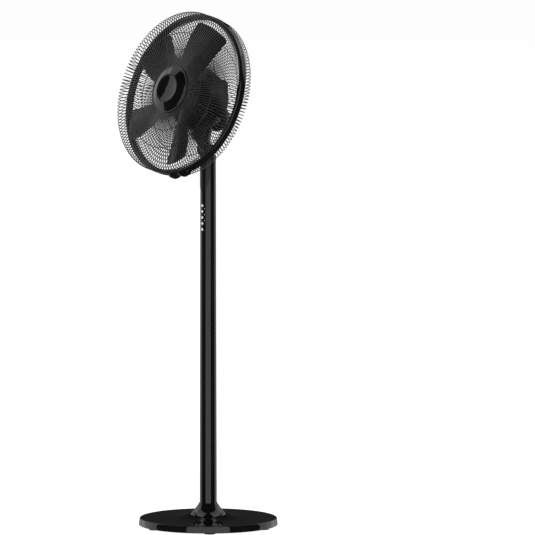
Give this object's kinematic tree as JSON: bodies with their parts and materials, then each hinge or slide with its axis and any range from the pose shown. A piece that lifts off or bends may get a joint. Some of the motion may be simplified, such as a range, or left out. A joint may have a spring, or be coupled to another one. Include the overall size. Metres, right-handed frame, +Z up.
{
  "type": "pedestal fan",
  "caption": "Tall pedestal fan with a round weighted base, a column with front keys, and a caged head that tilts, swings and spins its rotor.",
  "frame": {"origin": "on the floor, under the column's axis", "axes": "+Z up along the column, -Y the way the fan blows, +X to the right of someone facing the fan's front"},
  "size_m": [0.4372, 0.3724, 1.3707],
  "materials": {
    "gloss_black": "high gloss black moulded plastic",
    "satin_black": "satin black moulded plastic",
    "blade_black": "semi-gloss black moulded plastic",
    "coated_wire": "black powder-coated steel wire",
    "key_white": "pale grey-white key caps",
    "lamp_lens": "clear pale lens",
    "foot_rubber": "black rubber",
    "cast_iron": "raw casting",
    "steel": "plated steel",
    "lamination": "stacked lamination steel",
    "nylon": "natural nylon",
    "board": "green circuit board"
  },
  "bodies": {
    "stand": {"base_cover": "gloss_black", "base_bottom_plate": "steel", "base_weight": "cast_iron", "foot_1": "foot_rubber", "foot_2": "foot_rubber", "foot_3": "foot_rubber", "foot_4": "foot_rubber", "foot_5": "foot_rubber", "foot_6": "foot_rubber", "column_socket": "steel", "cord_gland": "satin_black", "extension_column": "gloss_black", "coupling_sleeve": "steel", "upper_column": "gloss_black", "column_front_trim": "gloss_black", "column_head": "satin_black", "control_board": "board", "indicator_lens_1": "lamp_lens", "indicator_lens_2": "lamp_lens", "indicator_lens_3": "lamp_lens", "tilt_bolt": "steel", "tilt_nut": "steel"},
    "neck": {"neck": "gloss_black", "swing_pin": "steel", "swing_gear": "nylon"},
    "head": {"motor_foot": "gloss_black", "gear_housing": "gloss_black", "swing_motor": "steel", "motor_front_cover": "gloss_black", "motor_rear_cover": "gloss_black", "stator": "lamination", "front_bearing": "steel", "rear_bearing": "steel", "front_bracket": "steel", "rear_bracket": "steel", "rear_guard": "coated_wire", "guard_hoop": "gloss_black", "hoop_screw": "steel", "hoop_nut": "steel", "front_guard": "coated_wire", "medallion_ring": "gloss_black", "medallion_disc": "gloss_black", "medallion_clip": "satin_black"},
    "rotor": {"fan_blades": "blade_black", "spinner_nut": "satin_black", "motor_shaft": "steel", "rotor_core": "lamination", "drive_pin": "steel"},
    "swing_pinion": {"swing_pinion": "nylon"},
    "key_power": {"button_power": "key_white"},
    "key_speed": {"button_speed": "key_white"},
    "key_swing": {"button_swing": "key_white"},
    "key_timer": {"button_timer": "key_white"},
    "key_mode": {"button_mode": "key_white"}
  },
  "joints": [
    {"name": "tilt", "type": "hinge", "parent": "stand", "child": "neck", "pos_m": [0, -0.008, 1.003], "axis": [-1, 0, 0], "range_deg": [-29, 6]},
    {"name": "swing", "type": "hinge", "parent": "neck", "child": "head", "pos_m": [0, -0.02471, 1.04048], "axis": [0, 0.3256, 0.9455], "range_deg": [-40, 40]},
    {"name": "rotor_spin", "type": "hinge", "parent": "head", "child": "rotor", "pos_m": [0, -0.07903, 1.153], "axis": [0, 0.9455, -0.3256], "continuous": true},
    {"name": "swing_pinion_turn", "type": "hinge", "parent": "head", "child": "swing_pinion", "pos_m": [0, -0.01074, 1.03144], "axis": [0, 0.3256, 0.9455], "range_deg": [-85, 85]},
    {"name": "press_power", "type": "slide", "parent": "stand", "child": "key_power", "axis": [0, 1, 0], "range_m": [0, 0.001], "stiffness_N_per_m": 300},
    {"name": "press_speed", "type": "slide", "parent": "stand", "child": "key_speed", "axis": [0, 1, 0], "range_m": [0, 0.001], "stiffness_N_per_m": 300},
    {"name": "press_swing", "type": "slide", "parent": "stand", "child": "key_swing", "axis": [0, 1, 0], "range_m": [0, 0.001], "stiffness_N_per_m": 300},
    {"name": "press_timer", "type": "slide", "parent": "stand", "child": "key_timer", "axis": [0, 1, 0], "range_m": [0, 0.001], "stiffness_N_per_m": 300},
    {"name": "press_mode", "type": "slide", "parent": "stand", "child": "key_mode", "axis": [0, 1, 0], "range_m": [0, 0.001], "stiffness_N_per_m": 300}
  ],
  "couplings": [
    {"joint": "swing_pinion_turn", "follows": "swing", "ratio": 2}
  ]
}
